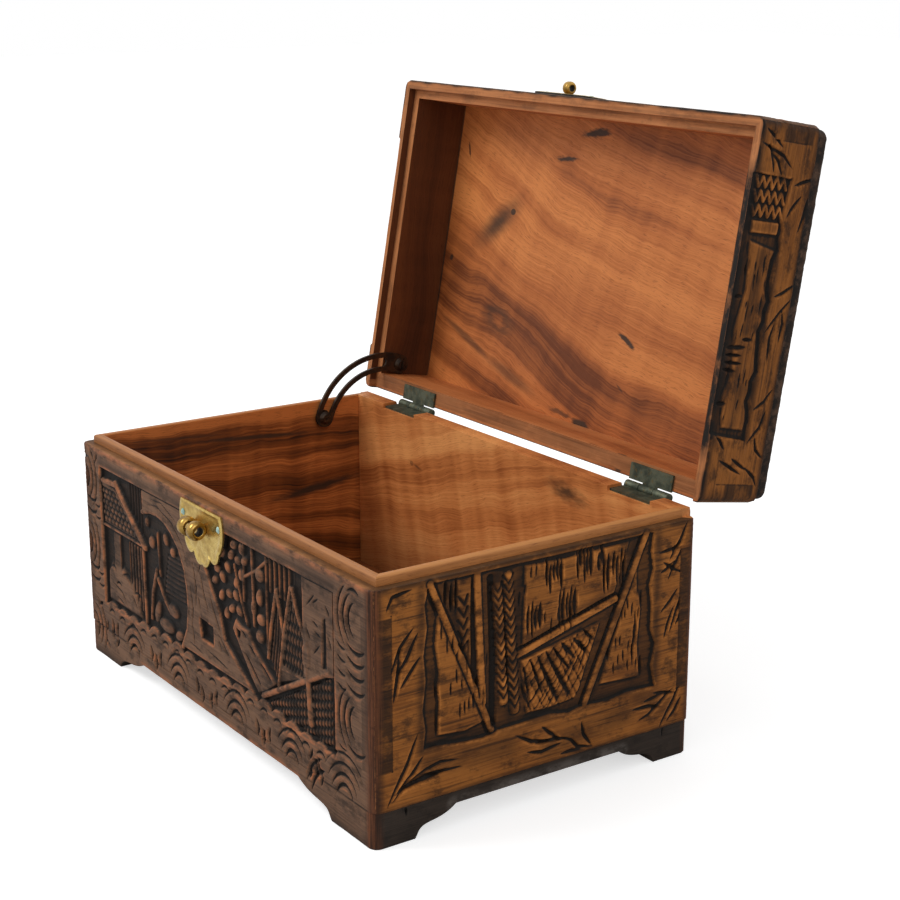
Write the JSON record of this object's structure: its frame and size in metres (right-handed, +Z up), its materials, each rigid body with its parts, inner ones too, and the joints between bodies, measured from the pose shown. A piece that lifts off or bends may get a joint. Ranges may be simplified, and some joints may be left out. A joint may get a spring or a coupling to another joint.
{
  "type": "jewelry box",
  "caption": "Carved wooden jewelry box on bracket feet, with a hinged lid held open by a slotted stay and a brass clasp for a padlock.",
  "frame": {"origin": "on the surface that the feet stand on, under the middle of the bounding box of the box with its lid open at rest, 33.7 mm behind the footprint's centre", "axes": "+Z up, +X to the box's right, +Y to its back; the lid rests open at 100 degrees, as in the picture"},
  "size_m": [0.305, 0.2768, 0.3216],
  "materials": {
    "carved_wood": "hand-carved camphor wood, brown stain outside, oiled orange-brown inside",
    "plain_wood": "planed camphor wood",
    "dark_wood": "near-black stain",
    "polished_brass": "worn pale brass with a little verdigris",
    "patinated_brass": "dark green-grey patina",
    "dark_brass": "near-black brown patina"
  },
  "bodies": {
    "box": {"front_board": "carved_wood", "back_board": "carved_wood", "left_end_board": "carved_wood", "right_end_board": "carved_wood", "bottom_board": "plain_wood", "plinth_front": "dark_wood", "plinth_back": "dark_wood", "plinth_left": "dark_wood", "plinth_right": "dark_wood", "left_hinge_box_leaf": "patinated_brass", "left_hinge_box_nails": "patinated_brass", "left_hinge_pin": "patinated_brass", "right_hinge_box_leaf": "patinated_brass", "right_hinge_box_nails": "patinated_brass", "right_hinge_pin": "patinated_brass", "stay_box_screw": "dark_brass", "stay_box_washer": "dark_brass", "clasp_box_plate": "polished_brass", "clasp_left_eye": "polished_brass", "clasp_right_eye": "polished_brass", "clasp_box_nails": "polished_brass"},
    "lid": {"lid_front_rail": "carved_wood", "lid_back_rail": "carved_wood", "lid_left_rail": "carved_wood", "lid_right_rail": "carved_wood", "lid_top_board": "carved_wood", "left_hinge_lid_leaf": "patinated_brass", "left_hinge_lid_nails": "patinated_brass", "right_hinge_lid_leaf": "patinated_brass", "right_hinge_lid_nails": "patinated_brass", "stay_lid_screw": "dark_brass", "stay_lid_washer": "dark_brass", "clasp_lid_plate": "polished_brass", "clasp_lid_eye": "polished_brass", "clasp_lid_nails": "polished_brass"},
    "stay": {"stay_arm": "dark_brass"}
  },
  "joints": [
    {"name": "lid_hinge", "type": "hinge", "parent": "box", "child": "lid", "pos_m": [0, 0.06306, 0.1268], "axis": [1, 0, 0], "range_deg": [0, 100]},
    {"name": "stay_pivot", "type": "hinge", "parent": "lid", "child": "stay", "pos_m": [-0.1406, 0.07895, 0.1438], "axis": [1, 0, 0], "range_deg": [-47.5, 0]}
  ],
  "couplings": [
    {"joint": "stay_pivot", "follows": "lid_hinge", "ratio": -0.474}
  ]
}
